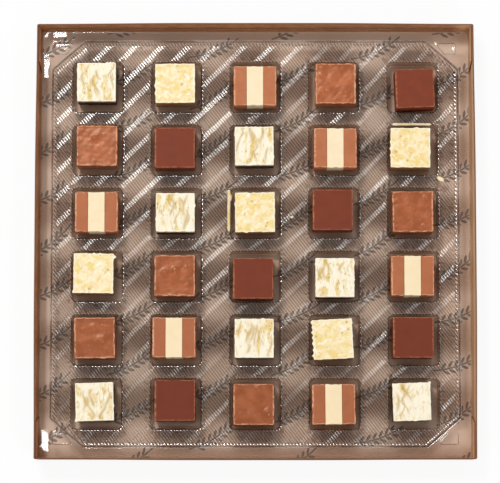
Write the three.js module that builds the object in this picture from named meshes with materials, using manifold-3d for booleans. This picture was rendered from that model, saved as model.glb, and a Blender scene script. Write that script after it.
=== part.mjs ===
// Open base of a chocolate box: a shallow folded-card carton, a clear thermoformed insert
// with one pocket for each chocolate, and thirty cube chocolates of five kinds.
// Millimetres. +X is to the right of the box, +Y to its back and +Z up.
// The origin is at the middle of the carton's underside.

import * as THREE from 'three';
import { mergeVertices } from 'three/addons/utils/BufferGeometryUtils.js';
import Module from 'manifold-3d';

const wasm = await Module();
wasm.setup();

// Card and carton
const CARD = 0.6;
const WALL_LEAN = 0.5;
const HEADROOM = 2.6;
const FLAP_LENGTH = 19;
const FLAP_TAPER = 2.5;
const FLAP_DROP = 1;

// Thermoformed insert
const SHEET = 0.4;
const INSERT_PLAY = 0.35;
const POCKET_DEPTH = 7.4;
const POCKET_PLAY = 1.1;
const POCKET_DRAFT = 0.5;
const AISLE_X = 13.1;
const AISLE_Y = 6.2;
const MARGIN_X = 8.7;
const MARGIN_BACK = 9;
const MARGIN_FRONT = 7.4;
const FIELD_DROP = 2.4;
const FIELD_DRAFT = 0.8;
const FIELD_CHAMFER_X = 14.4;
const FIELD_CHAMFER_Y = 12.6;
const FLANGE_SIDE = 4.8;
const FLANGE_BACK = 5.4;
const FLANGE_FRONT = 4.25;
const FLANGE_CORNER = 6;
const LIP_DROP = 1.6;
const PAD_LONG = 10;
const PAD_SHORT = 5.4;
const PAD_DEPTH = 5.6;
const PAD_HEIGHT = 0.8;
const PAD_TRIM = 1.3;
const PAD_INSET = 0.3;

// Chocolates
const CHOCOLATE_HEIGHT = 13.5;
const CHOCOLATE_CORNER = 0.9;
const TOP_BEVEL = 0.7;
const FOOT_BEVEL = 0.4;
const MARBLED_SIDE = 17.5;
const MARBLED_TOP = 3.6;
const NUTTY_SIDE = 18;
const LAYERED_WIDTH = 19.2;
const LAYERED_DEPTH = 17.8;
const LAYERED_CENTRE = 7.4;
const MILK_SIDE = 18.2;
const DARK_SIDE = 18;

// Clearances: what rests on something, bonded layers, and a chocolate's least room sideways
const REST_GAP = 0.3;
const LAYER_GAP = 0.1;
const SIDE_GAP = 0.3;

// Facets in each quarter round
const CORNER_STEPS = 2;

// The box as it is packed, from the back row to the front one. Each chocolate has its kind,
// the share of its free room by which it lies to the right and to the back, and its turn in degrees.
const LAYOUT = [
  [['marbled', -0.3, 0.9, 0], ['nutty', -0.4, 0.7, 0.5], ['layered', -0.2, -0.2, 0],
    ['milk', 0.5, 0.6, 0], ['dark', 0.5, -1, 0]],
  [['milk', 0, 0.9, 0], ['dark', -0.5, 0.2, 0], ['marbled', -0.3, 0.7, 0.5],
    ['layered', 0.5, 0.1, 0], ['nutty', -1, 0.2, 0]],
  [['layered', -0.2, -0.1, 0], ['marbled', -0.2, -0.2, 0], ['nutty', -0.1, -0.2, 0.5],
    ['dark', -0.6, 0.6, 0], ['milk', -0.4, 0, 0]],
  [['nutty', -1, 0.7, -0.5], ['milk', -0.4, -0.1, 0], ['dark', -0.7, -1, 0],
    ['marbled', 0, -0.6, 0], ['layered', -1, -0.1, 0]],
  [['milk', -0.5, 0.5, 0.5], ['layered', -1, 0.5, 0], ['marbled', -0.3, 0.3, 0],
    ['nutty', -1, 0.1, 3], ['dark', -0.5, 0.6, 0]],
  [['marbled', -0.3, 0.5, 0], ['dark', -0.2, 1, 0], ['milk', -0.6, -0.3, 0],
    ['layered', -1, -0.2, 0.5], ['marbled', -0.9, 0.5, 0]],
];
const ROWS = LAYOUT.length;
const COLUMNS = LAYOUT[0].length;

// Pockets and their grid
const widest = Math.max(MARBLED_SIDE, NUTTY_SIDE, LAYERED_WIDTH, LAYERED_DEPTH, MILK_SIDE, DARK_SIDE);
const pocketFloor = widest + 2 * POCKET_PLAY;
const pocketMouth = pocketFloor + 2 * POCKET_DRAFT;
const pocketCorner = CHOCOLATE_CORNER + 2 * SIDE_GAP;
const pitchX = pocketMouth + AISLE_X;
const pitchY = pocketMouth + AISLE_Y;

// Heights of the stack
const pocketFoot = CARD + REST_GAP;
const pocketBed = pocketFoot + SHEET;
const fieldTop = pocketBed + POCKET_DEPTH;
const flangeTop = fieldTop + FIELD_DROP;
const seat = pocketBed + REST_GAP;
const wallTop = seat + CHOCOLATE_HEIGHT + HEADROOM;

// Plan sizes of the ribbed field, the insert and the carton
const fieldX = (COLUMNS - 1) * pitchX + pocketMouth + 2 * MARGIN_X;
const fieldY = (ROWS - 1) * pitchY + pocketMouth + MARGIN_BACK + MARGIN_FRONT;
const insertX = fieldX + 2 * (FIELD_DRAFT + FLANGE_SIDE);
const insertY = fieldY + 2 * FIELD_DRAFT + FLANGE_BACK + FLANGE_FRONT;
const innerX = insertX + 2 * (INSERT_PLAY + CARD);
const innerY = insertY + 2 * INSERT_PLAY;

// How far to the back of the box's middle the field and the grid of pockets lie
const fieldShift = (FLANGE_FRONT - FLANGE_BACK) / 2;
const gridShift = fieldShift + (MARGIN_FRONT - MARGIN_BACK) / 2;

// An overlap that lets joined solids share volume, or lets a cut pass clean through
const BITE = 0.2;

// Outlines in plan, counter-clockwise
function roundedRectangle(width, depth, corner) {
  const points = [];
  const centres = [[1, 1], [-1, 1], [-1, -1], [1, -1]];
  centres.forEach(([sideX, sideY], quarter) => {
    for (let step = 0; step <= CORNER_STEPS; step += 1) {
      const angle = (quarter + step / CORNER_STEPS) * Math.PI / 2;
      points.push(new THREE.Vector2(
        sideX * (width / 2 - corner) + corner * Math.cos(angle),
        sideY * (depth / 2 - corner) + corner * Math.sin(angle),
      ));
    }
  });
  return points;
}

function rectangle(lowX, lowY, highX, highY) {
  return [
    new THREE.Vector2(highX, highY),
    new THREE.Vector2(lowX, highY),
    new THREE.Vector2(lowX, lowY),
    new THREE.Vector2(highX, lowY),
  ];
}

function chamferedRectangle(width, depth, chamferX, chamferY) {
  const x = width / 2;
  const y = depth / 2;
  return [
    new THREE.Vector2(x, y - chamferY),
    new THREE.Vector2(x - chamferX, y),
    new THREE.Vector2(chamferX - x, y),
    new THREE.Vector2(-x, y - chamferY),
    new THREE.Vector2(-x, chamferY - y),
    new THREE.Vector2(chamferX - x, -y),
    new THREE.Vector2(x - chamferX, -y),
    new THREE.Vector2(x, chamferY - y),
  ];
}

// A closed solid through convex outlines of equal point counts, from the lowest to the highest
function loft(...sections) {
  const count = sections[0].outline.length;
  const positions = [];
  const index = [];
  for (const { outline, z } of sections) {
    for (const point of outline) {
      positions.push(point.x, point.y, z);
    }
  }
  for (let band = 0; band < sections.length - 1; band += 1) {
    for (let i = 0; i < count; i += 1) {
      const low = band * count + i;
      const lowNext = band * count + (i + 1) % count;
      index.push(low, lowNext, lowNext + count);
      index.push(low, lowNext + count, low + count);
    }
  }
  const last = (sections.length - 1) * count;
  for (let i = 1; i < count - 1; i += 1) {
    index.push(0, i + 1, i);
    index.push(last, last + i, last + i + 1);
  }
  const geometry = new THREE.BufferGeometry();
  geometry.setAttribute('position', new THREE.Float32BufferAttribute(positions, 3));
  geometry.setIndex(index);
  return geometry;
}

function prism(outline, lowZ, highZ) {
  return loft({ outline, z: lowZ }, { outline, z: highZ });
}

// Solids for joining and cutting, and back to geometry
function solidOf(geometry) {
  const plain = geometry.clone();
  plain.deleteAttribute('normal');
  plain.deleteAttribute('uv');
  const merged = mergeVertices(plain);
  return new wasm.Manifold(new wasm.Mesh({
    numProp: 3,
    vertProperties: new Float32Array(merged.attributes.position.array),
    triVerts: new Uint32Array(merged.index.array),
  }));
}

function geometryOf(solid) {
  const mesh = solid.getMesh();
  const geometry = new THREE.BufferGeometry();
  geometry.setAttribute('position', new THREE.BufferAttribute(new Float32Array(mesh.vertProperties), 3));
  geometry.setIndex(new THREE.BufferAttribute(new Uint32Array(mesh.triVerts), 1));
  return geometry;
}

function joined(geometries) {
  return geometries.map(solidOf).reduce((whole, solid) => whole.add(solid));
}

function named(name, geometry, colour, roughness) {
  geometry.computeVertexNormals();
  const material = new THREE.MeshStandardMaterial({ color: colour, roughness, metalness: 0 });
  const mesh = new THREE.Mesh(geometry, material);
  mesh.name = name;
  return mesh;
}

// Carton: floor, four walls that lean out a little, and a glued flap inside each end of the side walls
function wallOutline(z, thickness) {
  const lean = 2 * WALL_LEAN * z / wallTop;
  const halfX = (innerX + lean) / 2 + thickness;
  const halfY = (innerY + lean) / 2 + thickness;
  return rectangle(-halfX, -halfY, halfX, halfY);
}

function flap(sideX, sideY) {
  const section = (z, length) => {
    const corner = wallOutline(z, 0)[0];
    const xs = [sideX * (corner.x - CARD), sideX * (corner.x + CARD / 2)];
    const ys = [sideY * (corner.y - length), sideY * (corner.y + CARD / 2)];
    return { outline: rectangle(Math.min(...xs), Math.min(...ys), Math.max(...xs), Math.max(...ys)), z };
  };
  return loft(section(CARD / 2, FLAP_LENGTH), section(wallTop - FLAP_DROP, FLAP_LENGTH - FLAP_TAPER));
}

function carton() {
  const outside = loft(
    { outline: wallOutline(0, CARD), z: 0 },
    { outline: wallOutline(wallTop, CARD), z: wallTop },
  );
  const inside = loft(
    { outline: wallOutline(CARD, 0), z: CARD },
    { outline: wallOutline(wallTop + BITE, 0), z: wallTop + BITE },
  );
  const flaps = [flap(1, 1), flap(-1, 1), flap(-1, -1), flap(1, -1)];
  const tray = solidOf(outside).subtract(solidOf(inside));
  return geometryOf(tray.add(joined(flaps)));
}

// Insert: a flange with a turned-down lip and corner pads round a sunken field of pockets
function pocketCentre(row, column) {
  return new THREE.Vector2(
    (column - (COLUMNS - 1) / 2) * pitchX,
    ((ROWS - 1) / 2 - row) * pitchY + gridShift,
  );
}

function pocket(centre, growth, lowZ, highZ) {
  const section = (z) => {
    const spread = POCKET_DRAFT * (z - pocketBed) / POCKET_DEPTH + growth;
    const side = pocketFloor + 2 * spread;
    return { outline: roundedRectangle(side, side, pocketCorner + spread), z };
  };
  return loft(section(lowZ), section(highZ)).translate(centre.x, centre.y, 0);
}

function field(growth, lowZ, highZ) {
  const section = (z) => {
    const spread = 2 * (FIELD_DRAFT * (z - fieldTop) / FIELD_DROP + growth);
    return {
      outline: chamferedRectangle(fieldX + spread, fieldY + spread, FIELD_CHAMFER_X, FIELD_CHAMFER_Y),
      z,
    };
  };
  return loft(section(lowZ), section(highZ)).translate(0, fieldShift, 0);
}

// A four-cornered pad in the right angle that the field's chamfer leaves, with its corners trimmed
function pad(sideX, sideY, shrink, lowZ, highZ) {
  const slope = (PAD_LONG - PAD_SHORT) / PAD_DEPTH;
  const slant = shrink * Math.hypot(1, slope);
  const x = fieldX / 2 - PAD_INSET;
  const y = fieldY / 2 - PAD_INSET;
  const corners = [
    [x - shrink, y - shrink],
    [x - PAD_LONG + slope * shrink + slant, y - shrink],
    [x - PAD_SHORT - slope * shrink + slant, y - PAD_DEPTH + shrink],
    [x - shrink, y - PAD_DEPTH + shrink],
  ].map(([cornerX, cornerY]) => new THREE.Vector2(sideX * cornerX, sideY * cornerY + fieldShift));
  const ordered = sideX * sideY > 0 ? corners : [...corners].reverse();
  const outline = ordered.flatMap((corner, i) => [3, 1].map((ahead) => {
    const other = ordered[(i + ahead) % ordered.length];
    return corner.clone().lerp(other, PAD_TRIM / corner.distanceTo(other));
  }));
  return prism(outline, lowZ, highZ);
}

function insert() {
  const edge = roundedRectangle(insertX, insertY, FLANGE_CORNER);
  const innerEdge = roundedRectangle(insertX - 2 * SHEET, insertY - 2 * SHEET, FLANGE_CORNER - SHEET);
  const outer = [
    prism(edge, flangeTop - LIP_DROP, flangeTop),
    field(SHEET, fieldTop - SHEET, flangeTop - SHEET / 2),
  ];
  const inner = [];
  for (const [sideX, sideY] of [[1, 1], [-1, 1], [-1, -1], [1, -1]]) {
    outer.push(pad(sideX, sideY, 0, flangeTop - SHEET / 2, flangeTop + PAD_HEIGHT));
    inner.push(pad(sideX, sideY, SHEET, flangeTop - SHEET - BITE, flangeTop + PAD_HEIGHT - SHEET));
  }
  for (let row = 0; row < ROWS; row += 1) {
    for (let column = 0; column < COLUMNS; column += 1) {
      const centre = pocketCentre(row, column);
      outer.push(pocket(centre, SHEET, pocketFoot, fieldTop - SHEET / 2));
      inner.push(pocket(centre, 0, pocketBed, fieldTop + BITE));
    }
  }
  const underFlange = solidOf(prism(innerEdge, flangeTop - LIP_DROP - BITE, flangeTop - SHEET))
    .subtract(solidOf(field(SHEET, fieldTop - SHEET - BITE, flangeTop)));
  return joined(outer)
    .subtract(underFlange)
    .subtract(solidOf(field(0, fieldTop, flangeTop + BITE)))
    .subtract(joined(inner));
}

// The insert's length of sheet that carries one row of pockets, cut midway between rows
function insertRow(whole, row) {
  const reach = insertY;
  const middle = pocketCentre(row, 0).y;
  const low = row === ROWS - 1 ? -reach : middle - pitchY / 2;
  const high = row === 0 ? reach : middle + pitchY / 2;
  const slab = prism(rectangle(-insertX, low, insertX, high), 0, wallTop);
  return geometryOf(whole.intersect(solidOf(slab)));
}

// Chocolates, each standing on z = 0 about its own middle
function block(width, depth, lowZ, highZ, topBevel, footBevel) {
  const section = (z, inset) => ({
    outline: roundedRectangle(width - 2 * inset, depth - 2 * inset, CHOCOLATE_CORNER),
    z,
  });
  const sections = [section(lowZ + footBevel, 0), section(highZ - topBevel, 0)];
  if (footBevel > 0) {
    sections.unshift(section(lowZ, footBevel));
  }
  if (topBevel > 0) {
    sections.push(section(highZ, topBevel));
  }
  return loft(...sections);
}

function marbled(name) {
  const split = CHOCOLATE_HEIGHT - MARBLED_TOP;
  return [
    named(`${name}_body`, block(MARBLED_SIDE, MARBLED_SIDE, 0, split, 0, FOOT_BEVEL), 0x6b3a28, 0.45),
    named(
      `${name}_top`,
      block(MARBLED_SIDE, MARBLED_SIDE, split + LAYER_GAP, CHOCOLATE_HEIGHT, TOP_BEVEL, 0),
      0xf4e8cc,
      0.5,
    ),
  ];
}

function layered(name) {
  const whole = solidOf(block(LAYERED_WIDTH, LAYERED_DEPTH, 0, CHOCOLATE_HEIGHT, TOP_BEVEL, FOOT_BEVEL));
  const half = LAYERED_CENTRE / 2;
  const spans = [
    ['left', -LAYERED_WIDTH, -half - LAYER_GAP, 0xb9714f],
    ['centre', -half, half, 0xf2dcb2],
    ['right', half + LAYER_GAP, LAYERED_WIDTH, 0xb9714f],
  ];
  return spans.map(([side, lowX, highX, colour]) => {
    const slab = prism(
      rectangle(lowX, -LAYERED_DEPTH, highX, LAYERED_DEPTH), -BITE, CHOCOLATE_HEIGHT + BITE,
    );
    return named(`${name}_${side}`, geometryOf(whole.intersect(solidOf(slab))), colour, 0.5);
  });
}

function single(name, side, colour, roughness) {
  return [named(name, block(side, side, 0, CHOCOLATE_HEIGHT, TOP_BEVEL, FOOT_BEVEL), colour, roughness)];
}

const KINDS = {
  marbled: { width: MARBLED_SIDE, depth: MARBLED_SIDE, make: marbled },
  nutty: { width: NUTTY_SIDE, depth: NUTTY_SIDE, make: (name) => single(name, NUTTY_SIDE, 0xefdfa8, 0.6) },
  layered: { width: LAYERED_WIDTH, depth: LAYERED_DEPTH, make: layered },
  milk: { width: MILK_SIDE, depth: MILK_SIDE, make: (name) => single(name, MILK_SIDE, 0xaf6943, 0.4) },
  dark: { width: DARK_SIDE, depth: DARK_SIDE, make: (name) => single(name, DARK_SIDE, 0x7f412d, 0.4) },
};

// A chocolate lies somewhere in its pocket, a little turned, and never nearer a wall than SIDE_GAP
function placed(row, column) {
  const [kind, shareX, shareY, degrees] = LAYOUT[row][column];
  const { width, depth, make } = KINDS[kind];
  const turn = THREE.MathUtils.degToRad(degrees);
  const cosine = Math.abs(Math.cos(turn));
  const sine = Math.abs(Math.sin(turn));
  const roomX = (pocketFloor - width * cosine - depth * sine) / 2 - SIDE_GAP;
  const roomY = (pocketFloor - depth * cosine - width * sine) / 2 - SIDE_GAP;
  const centre = pocketCentre(row, column);
  const group = new THREE.Group();
  group.add(...make(`${kind}_r${row + 1}c${column + 1}`));
  group.position.set(centre.x + shareX * roomX, centre.y + shareY * roomY, seat);
  group.rotation.z = turn;
  return group;
}

const box = new THREE.Group();
box.add(named('carton_base', carton(), 0x8f6a4c, 0.5));

const wholeInsert = insert();
for (let row = 0; row < ROWS; row += 1) {
  box.add(named(`insert_row_${row + 1}`, insertRow(wholeInsert, row), 0xcfc4b8, 0.15));
}

for (let row = 0; row < ROWS; row += 1) {
  for (let column = 0; column < COLUMNS; column += 1) {
    box.add(placed(row, column));
  }
}

export default box;
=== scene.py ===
# Looks of an open chocolate box: a printed card carton, a clear ribbed insert and thirty chocolates.
# Shapes are worked out in millimetres in the frame's axes, and become metres when a mesh is made.
import math
from functools import partialmethod

import bpy
import numpy as np
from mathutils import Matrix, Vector
from mathutils.geometry import delaunay_2d_cdt

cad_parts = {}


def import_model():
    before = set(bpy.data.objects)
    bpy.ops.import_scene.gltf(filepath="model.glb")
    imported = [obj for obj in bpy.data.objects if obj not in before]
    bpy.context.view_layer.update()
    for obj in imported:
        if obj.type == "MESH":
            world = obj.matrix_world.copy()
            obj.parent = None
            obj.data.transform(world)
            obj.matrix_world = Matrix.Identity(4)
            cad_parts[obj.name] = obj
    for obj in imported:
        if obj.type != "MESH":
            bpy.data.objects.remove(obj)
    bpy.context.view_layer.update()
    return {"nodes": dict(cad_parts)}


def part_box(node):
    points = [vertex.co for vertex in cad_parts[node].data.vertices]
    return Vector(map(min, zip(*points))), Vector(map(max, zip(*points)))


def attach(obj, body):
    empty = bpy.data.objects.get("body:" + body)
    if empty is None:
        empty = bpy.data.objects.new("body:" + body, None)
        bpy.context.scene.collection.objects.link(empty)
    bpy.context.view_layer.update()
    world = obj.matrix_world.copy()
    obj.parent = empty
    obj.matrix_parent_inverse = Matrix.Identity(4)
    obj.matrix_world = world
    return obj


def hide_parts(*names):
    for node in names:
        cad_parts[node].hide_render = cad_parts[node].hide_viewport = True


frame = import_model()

MM = 0.001
WHITE = (1, 1, 1, 1)


def box_mm(node):
    """A node's lowest and highest corners in millimetres."""
    low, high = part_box(node)
    return np.array(low) / MM, np.array(high) / MM


# Carton
CARD = 0.6
EDGE_ROUND = 0.1
WALL_LEAN = 0.5
WALL_STEPS = 64
FOLD = 0.9
FOLD_CORNER = 0.05
FLAP_LENGTH = 19
FLAP_TAPER = 2.5
FLAP_DROP = 1
FLAP_CORNER = 0.6
FLAP_ROUND = 0.06
CORNER_TUCK = 0.45
BOW_REACH = 70
carton_high = box_mm("carton_base")[1]

# Print on the card: a cell of the pattern, the sprig's turn in it, and the soft edges of stem and leaves
SPRIG_WIDE, SPRIG_TALL = 37.0, 22.0
SPRIG_TURN, SPRIG_SPREAD = 0.48, 0.3
STEM_BEND = 0.012
STEM_SIDE = (0.45, 0.25)
STEM_END = (12.5, 12.0)
LEAF_PITCH = 2.9
LEAF_OUT = 1.6
LEAF_TILT = 42
LEAF_LONG, LEAF_WIDE = 1.7, 0.62
LEAF_SIDE = (1.15, 0.85)
LEAVES_END = (9.0, 8.7)
# Painted light on the far margin, where the back wall's shadow falls, between these places along Y
FAR_MARGIN_LIGHT = (86.5, 91.5)
# Painted light on the right wall, which faces the lamp, between these places along X
RIGHT_WALL_LIGHT = (88, 94)

# Insert
SHEET = 0.4
ROWS, COLUMNS = 6, 5
POCKETS = [(row, column) for row in range(ROWS) for column in range(COLUMNS)]
POCKET_MOUTH = 22.4
POCKET_CORNER = 2.0
POCKET_DEPTH = 7.4
PITCH_X, PITCH_Y = 35.5, 28.6
GRID_SHIFT = -1.375
FLANGE_CORNER = 6
FLANGE_STEPS = 90
FIELD_HALF = np.array([90.9, 90.9])
FIELD_SHIFT = np.array([0, -0.575])
FIELD_CHAMFER = np.array([14.4, 12.6])
FIELD_SIDES = [19, 153, 19, 157] * 2
FIELD_DROP = 2.4
FIELD_CORNER = 1.2
PAD_LONG, PAD_SHORT, PAD_DEPTH = 10, 5.4, 5.6
PAD_HEIGHT = 0.8
PAD_INSET = 0.3
PAD_CORNER = 1.1
SIDES = [(-1, -1), (-1, 1), (1, -1), (1, 1)]
insert_nodes = [f"insert_row_{row}" for row in range(1, ROWS + 1)]
insert_high = np.max([box_mm(node)[1] for node in insert_nodes], axis=0)
flange_top = insert_high[2] - PAD_HEIGHT
field_top = flange_top - FIELD_DROP
field_reach = insert_high[0] * 1.4

# Surface of the insert's field: fine flat-crowned ribs with a groove between each two, over broad waves
RIB_PITCH = 1.17
RIB_DEPTH = 0.085
RIB_FLANK = 0.24
RIB_ANGLE = -52.5
RIB_PLACES = (0.02, RIB_FLANK, 1 - RIB_FLANK, 0.98)
HALF_CROWN = 0.5 - RIB_FLANK
CROWN_SLOPE = 0.09
END_SLOPE = 0.3
WAVE_PITCH = 8.6
WAVE_SLOPE = 0.1
WAVE_GROWTH = 0.0006
WAVE_EVEN = 37
WAVE_ANGLE = 44
WAVE_FACE = 0.29
WAVE_PLACES = (0.03, WAVE_FACE - 0.03, WAVE_FACE + 0.03, 0.5 + WAVE_FACE / 2, 0.97)
SLOPE_STEP = 0.01

# Humps that make the waves and the flange uneven: height, lengths along X and Y, and phases
WAVE_HUMPS = (0.24, (8.3, 10.7), (0.6, -0.4))
FLANGE_HUMPS = (0.08, (9.3, 11.1), (0.4, 1.1))

# Distances between the insert's free points, and how far they stay clear of edges
LOWER_GRID = (6, 1.72)
FLANGE_GRID, PATCH_GRID = 1.6, 0.5
RIBS_CLEAR, LOWER_CLEAR = 0.14, 0.3
STEP_CLEAR, LIP_CLEAR, PAD_CLEAR, PAD_END_CLEAR = 1.8, 1.2, 0.9, 1.4
PATCH_BAND, PATCH_CLEAR = 0.4, 0.3


def unit(vectors):
    return vectors / np.linalg.norm(vectors, axis=1)[:, None]


def heading(degrees):
    """The direction in plan at this angle from +X."""
    return np.array([math.cos(math.radians(degrees)), math.sin(math.radians(degrees))])


def across(plan, degrees):
    """Distance across lines that run at this angle from +X."""
    return plan @ heading(degrees + 90)


def turned(x, y, angle):
    """Points turned about the origin by an angle in radians."""
    cosine, sine = np.cos(angle), np.sin(angle)
    return np.stack([x * cosine - y * sine, x * sine + y * cosine], axis=-1)


def grid(reach, step):
    """Points in rows and columns about the origin."""
    lines = [np.arange(-far, far, pace) for far, pace in zip(reach, np.broadcast_to(step, 2))]
    x, y = np.meshgrid(*lines)
    return np.stack([x.ravel(), y.ravel()], axis=1)


def square(half_x, half_y):
    return [(half_x, half_y), (-half_x, half_y), (-half_x, -half_y), (half_x, -half_y)]


def smooth(share):
    return share * share * (3 - 2 * share)


def bell(share, power=2):
    """A hump that is 1 at 0 and falls off each way."""
    return np.exp(-(share ** power))


def humps(plan, height, lengths, phases):
    """Smooth humps and hollows in rows and columns."""
    return height * np.sin(plan / lengths + phases).prod(axis=1)


class Outline:
    """A convex outline in plan, counter-clockwise, that grows or shrinks with its point count kept."""

    LEAST_RADIUS = 0.15

    def __init__(self, corners, radius, steps, turn):
        self.corners = np.array(corners, float)
        self.radius = radius
        self.steps = steps
        self.turn = turn

    def at(self, reach=0.0):
        """Points round the outline grown by reach: each corner's arc, then the side after it."""
        ahead = unit(np.roll(self.corners, -1, axis=0) - self.corners)
        out = ahead[:, ::-1] * (1, -1)
        before, out_before = np.roll(ahead, 1, axis=0), np.roll(out, 1, axis=0)
        cosine = (before * ahead).sum(axis=1)
        corners = self.corners + reach * (out_before + out) / (1 + cosine)[:, None]
        radius = max(self.radius + reach, self.LEAST_RADIUS)
        turn = np.arccos(np.clip(cosine, -1, 1))
        tangent = radius * np.tan(turn / 2)[:, None]
        starts = corners - before * tangent
        ends = corners + ahead * tangent
        centres = starts - radius * out_before
        points = []
        for i, count in enumerate(self.steps):
            angles = np.arange(self.turn) * turn[i] / self.turn
            share = np.arange(count)[:, None] / count
            points.append(centres[i] + radius * turned(*out_before[i], angles))
            points.append(ends[i] + (starts[(i + 1) % len(starts)] - ends[i]) * share)
        return np.concatenate(points)


class Surface:
    """Points in millimetres and faces by point number, gathered before they become one mesh."""

    FUSE = 1e-6
    LEAST_AREA = 1e-7

    def __init__(self):
        self.points = []
        self.faces = []
        self.paints = []
        self.paint = 0
        self.normals = []
        self.leans = {}

    def loop(self, plan, height):
        """Adds points at one height or at one height each, and gives their numbers."""
        first = len(self.points)
        heights = np.broadcast_to(height, len(plan))
        self.points.extend((x, y, z) for (x, y), z in zip(plan, heights))
        return np.arange(first, len(self.points))

    def face(self, corners, up=True):
        self.faces.append(tuple(corners) if up else tuple(reversed(corners)))
        self.paints.append(self.paint)

    def ring(self, outer, inner, up=True):
        """Quads between two loops of equal count."""
        for i in range(len(outer)):
            j = (i + 1) % len(outer)
            self.face((outer[i], outer[j], inner[j], inner[i]), up)

    def funnel(self, outer, inner, up=True):
        """A ring whose outer loop has three steps to each one of the inner loop."""
        for i in range(len(inner)):
            a, b, c, d = (outer[(3 * i + k) % len(outer)] for k in range(4))
            low = inner[i]
            high = inner[(i + 1) % len(inner)]
            self.face((a, b, low), up)
            self.face((b, c, high, low), up)
            self.face((c, d, high), up)

    def rings(self, loops, up=True):
        """Faces between loops, each inside the one before, or outside it where up is turned over."""
        for outer, inner in zip(loops, loops[1:]):
            join = self.ring if len(outer) == len(inner) else self.funnel
            join(outer, inner, up)

    def fill(self, outer, holes, free, up=True):
        """Triangles through the free points, inside the outer loop and outside the holes."""
        loops = [outer, *holes]
        numbers = np.concatenate([*loops, free]).astype(int)
        owner = np.full(len(numbers), -1)
        edges = []
        first = 0
        for k, loop in enumerate(loops):
            owner[first:first + len(loop)] = k
            edges += [(first + i, first + (i + 1) % len(loop)) for i in range(len(loop))]
            first += len(loop)
        plan = [self.points[n][:2] for n in numbers]
        _, _, triangles, originals, _, _ = delaunay_2d_cdt(plan, edges, [], 0, self.FUSE)
        for triangle in triangles:
            a, b, c = (originals[i][0] for i in triangle)
            in_hole = owner[a] > 0 and owner[a] == owner[b] == owner[c]
            (ax, ay), (bx, by), (cx, cy) = plan[a], plan[b], plan[c]
            area = (bx - ax) * (cy - ay) - (cx - ax) * (by - ay)
            if in_hole or abs(area) < self.LEAST_AREA:
                continue
            corners = (numbers[a], numbers[b], numbers[c])
            self.face(corners if area > 0 else corners[::-1], up)

    def corners(self, first):
        """The point numbers of the faces from the first on, corner by corner."""
        return [n for face in self.faces[first:] for n in face]

    def corner_plan(self, first):
        return np.array([self.points[n][:2] for n in self.corners(first)])

    def tilt(self, first, rises):
        """Sets the normals at the corners of the faces from the first on, by their rise along X and Y."""
        directions = np.concatenate([-rises, np.ones((len(rises), 1))], axis=1)
        self.normals.append((first, unit(directions)))


def added(name, data):
    """A new object with this data, put into the scene."""
    made = bpy.data.objects.new(name, data)
    bpy.context.scene.collection.objects.link(made)
    return made


def mesh_of(name, surface, materials):
    mesh = bpy.data.meshes.new(name)
    mesh.from_pydata((np.array(surface.points) * MM).tolist(), [], surface.faces)
    for material in materials:
        mesh.materials.append(material)
    return mesh


def piece(name, surface, body, materials, stands_for=(), fields=None, crease=50):
    """Makes a mesh object from a surface, with one named number per point in each of its fields."""
    mesh = mesh_of(name, surface, materials)
    mesh.polygons.foreach_set("use_smooth", np.ones(len(surface.faces), bool))
    mesh.polygons.foreach_set("material_index", surface.paints)
    mesh.set_sharp_from_angle(angle=math.radians(crease))
    if surface.normals:
        normals = np.zeros((len(mesh.loops), 3))
        for first_face, directions in surface.normals:
            first = mesh.polygons[first_face].loop_start
            normals[first:first + len(directions)] = directions
        mesh.normals_split_custom_set(normals.tolist())
    for field, values in (fields or {}).items():
        numbers = mesh.attributes.new(field, "FLOAT", "POINT").data
        numbers.foreach_set("value", np.array(values, np.float32))
    made = added(name, mesh)
    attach(made, body)
    if stands_for:
        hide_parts(*stands_for)


def linear(code):
    """The linear colour of an sRGB code such as "8f6a4c"."""
    shares = [int(code[i:i + 2], 16) / 255 for i in (0, 2, 4)]
    return tuple(c / 12.92 if c <= 0.04045 else ((c + 0.055) / 1.055) ** 2.4 for c in shares) + (1.0,)


def feed(tree, socket, term):
    """Links a varying number or another socket to this one, or sets it to a fixed value."""
    term = term.socket if isinstance(term, Value) else term
    if isinstance(term, bpy.types.NodeSocket):
        tree.links.new(term, socket)
    else:
        socket.default_value = term


class Value:
    """A number that varies over a surface, held as a socket, with arithmetic that adds nodes."""

    def __init__(self, tree, socket):
        self.tree = tree
        self.socket = socket

    def through(self, kind, setting, choice, *terms):
        """The first output of a new node that is fed this number and then the terms."""
        node = self.tree.nodes.new(kind)
        setattr(node, setting, choice)
        for socket, term in zip(node.inputs, (self, *terms)):
            feed(self.tree, socket, term)
        return Value(self.tree, node.outputs[0])

    def ramp(self, low, high, low_value=0.0, high_value=1.0):
        """A smooth step from low_value at low to high_value at high."""
        terms = (low, high, low_value, high_value)
        return self.through("ShaderNodeMapRange", "interpolation_type", "SMOOTHSTEP", *terms)

    def math(self, operation, *others):
        return self.through("ShaderNodeMath", "operation", operation, *others)

    __add__ = partialmethod(math, "ADD")
    __sub__ = partialmethod(math, "SUBTRACT")
    __mul__ = partialmethod(math, "MULTIPLY")
    __truediv__ = partialmethod(math, "DIVIDE")
    __pow__ = partialmethod(math, "POWER")
    __abs__ = partialmethod(math, "ABSOLUTE")
    most = partialmethod(math, "MAXIMUM")


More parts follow.
